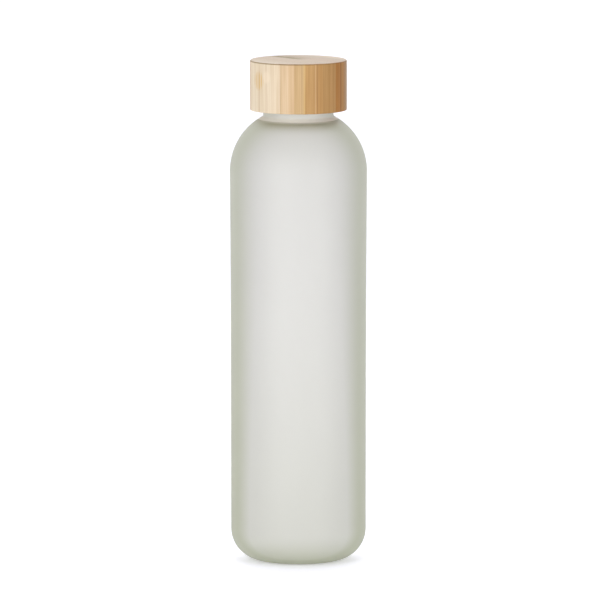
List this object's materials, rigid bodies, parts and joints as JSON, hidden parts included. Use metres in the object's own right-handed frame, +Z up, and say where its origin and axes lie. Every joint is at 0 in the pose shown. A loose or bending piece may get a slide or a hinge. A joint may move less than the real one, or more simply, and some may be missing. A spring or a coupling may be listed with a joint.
{
  "type": "glass water bottle",
  "caption": "Slim round frosted glass bottle with a domed shoulder, a short threaded neck and a flat-topped laminated bamboo screw cap over a plastic liner and a seal.",
  "frame": {"origin": "centre of the base, on the surface that the bottle stands on", "axes": "+Z up along the bottle's axis towards the cap; -Y is the side seen from the front"},
  "size_m": [0.08, 0.08, 0.2938],
  "materials": {
    "frosted_glass": "satin frosted, pale grey-green",
    "liner_plastic": "satin natural white",
    "silicone": "matt translucent white",
    "bamboo": "fine sanded, thin matt oil"
  },
  "bodies": {
    "bottle": {"glass_bottle": "frosted_glass"},
    "seal": {"silicone_seal": "silicone"},
    "cap": {"cap_liner": "liner_plastic", "bamboo_strip_01": "bamboo", "bamboo_strip_02": "bamboo", "bamboo_strip_03": "bamboo", "bamboo_strip_04": "bamboo", "bamboo_strip_05": "bamboo", "bamboo_strip_06": "bamboo", "bamboo_strip_07": "bamboo", "bamboo_strip_08": "bamboo", "bamboo_strip_09": "bamboo", "bamboo_strip_10": "bamboo", "bamboo_strip_11": "bamboo", "bamboo_strip_12": "bamboo"}
  },
  "joints": [
    {"name": "cap_lift", "type": "slide", "parent": "bottle", "child": "seal", "axis": [0, 0, 1], "range_m": [0, 0.024]},
    {"name": "cap_turn", "type": "hinge", "parent": "seal", "child": "cap", "pos_m": [0, 0, 0.2645], "axis": [0, 0, 1], "range_deg": [0, 2160]}
  ],
  "couplings": [
    {"joint": "cap_lift", "follows": "cap_turn", "m_per_rad": 0.00063661}
  ]
}
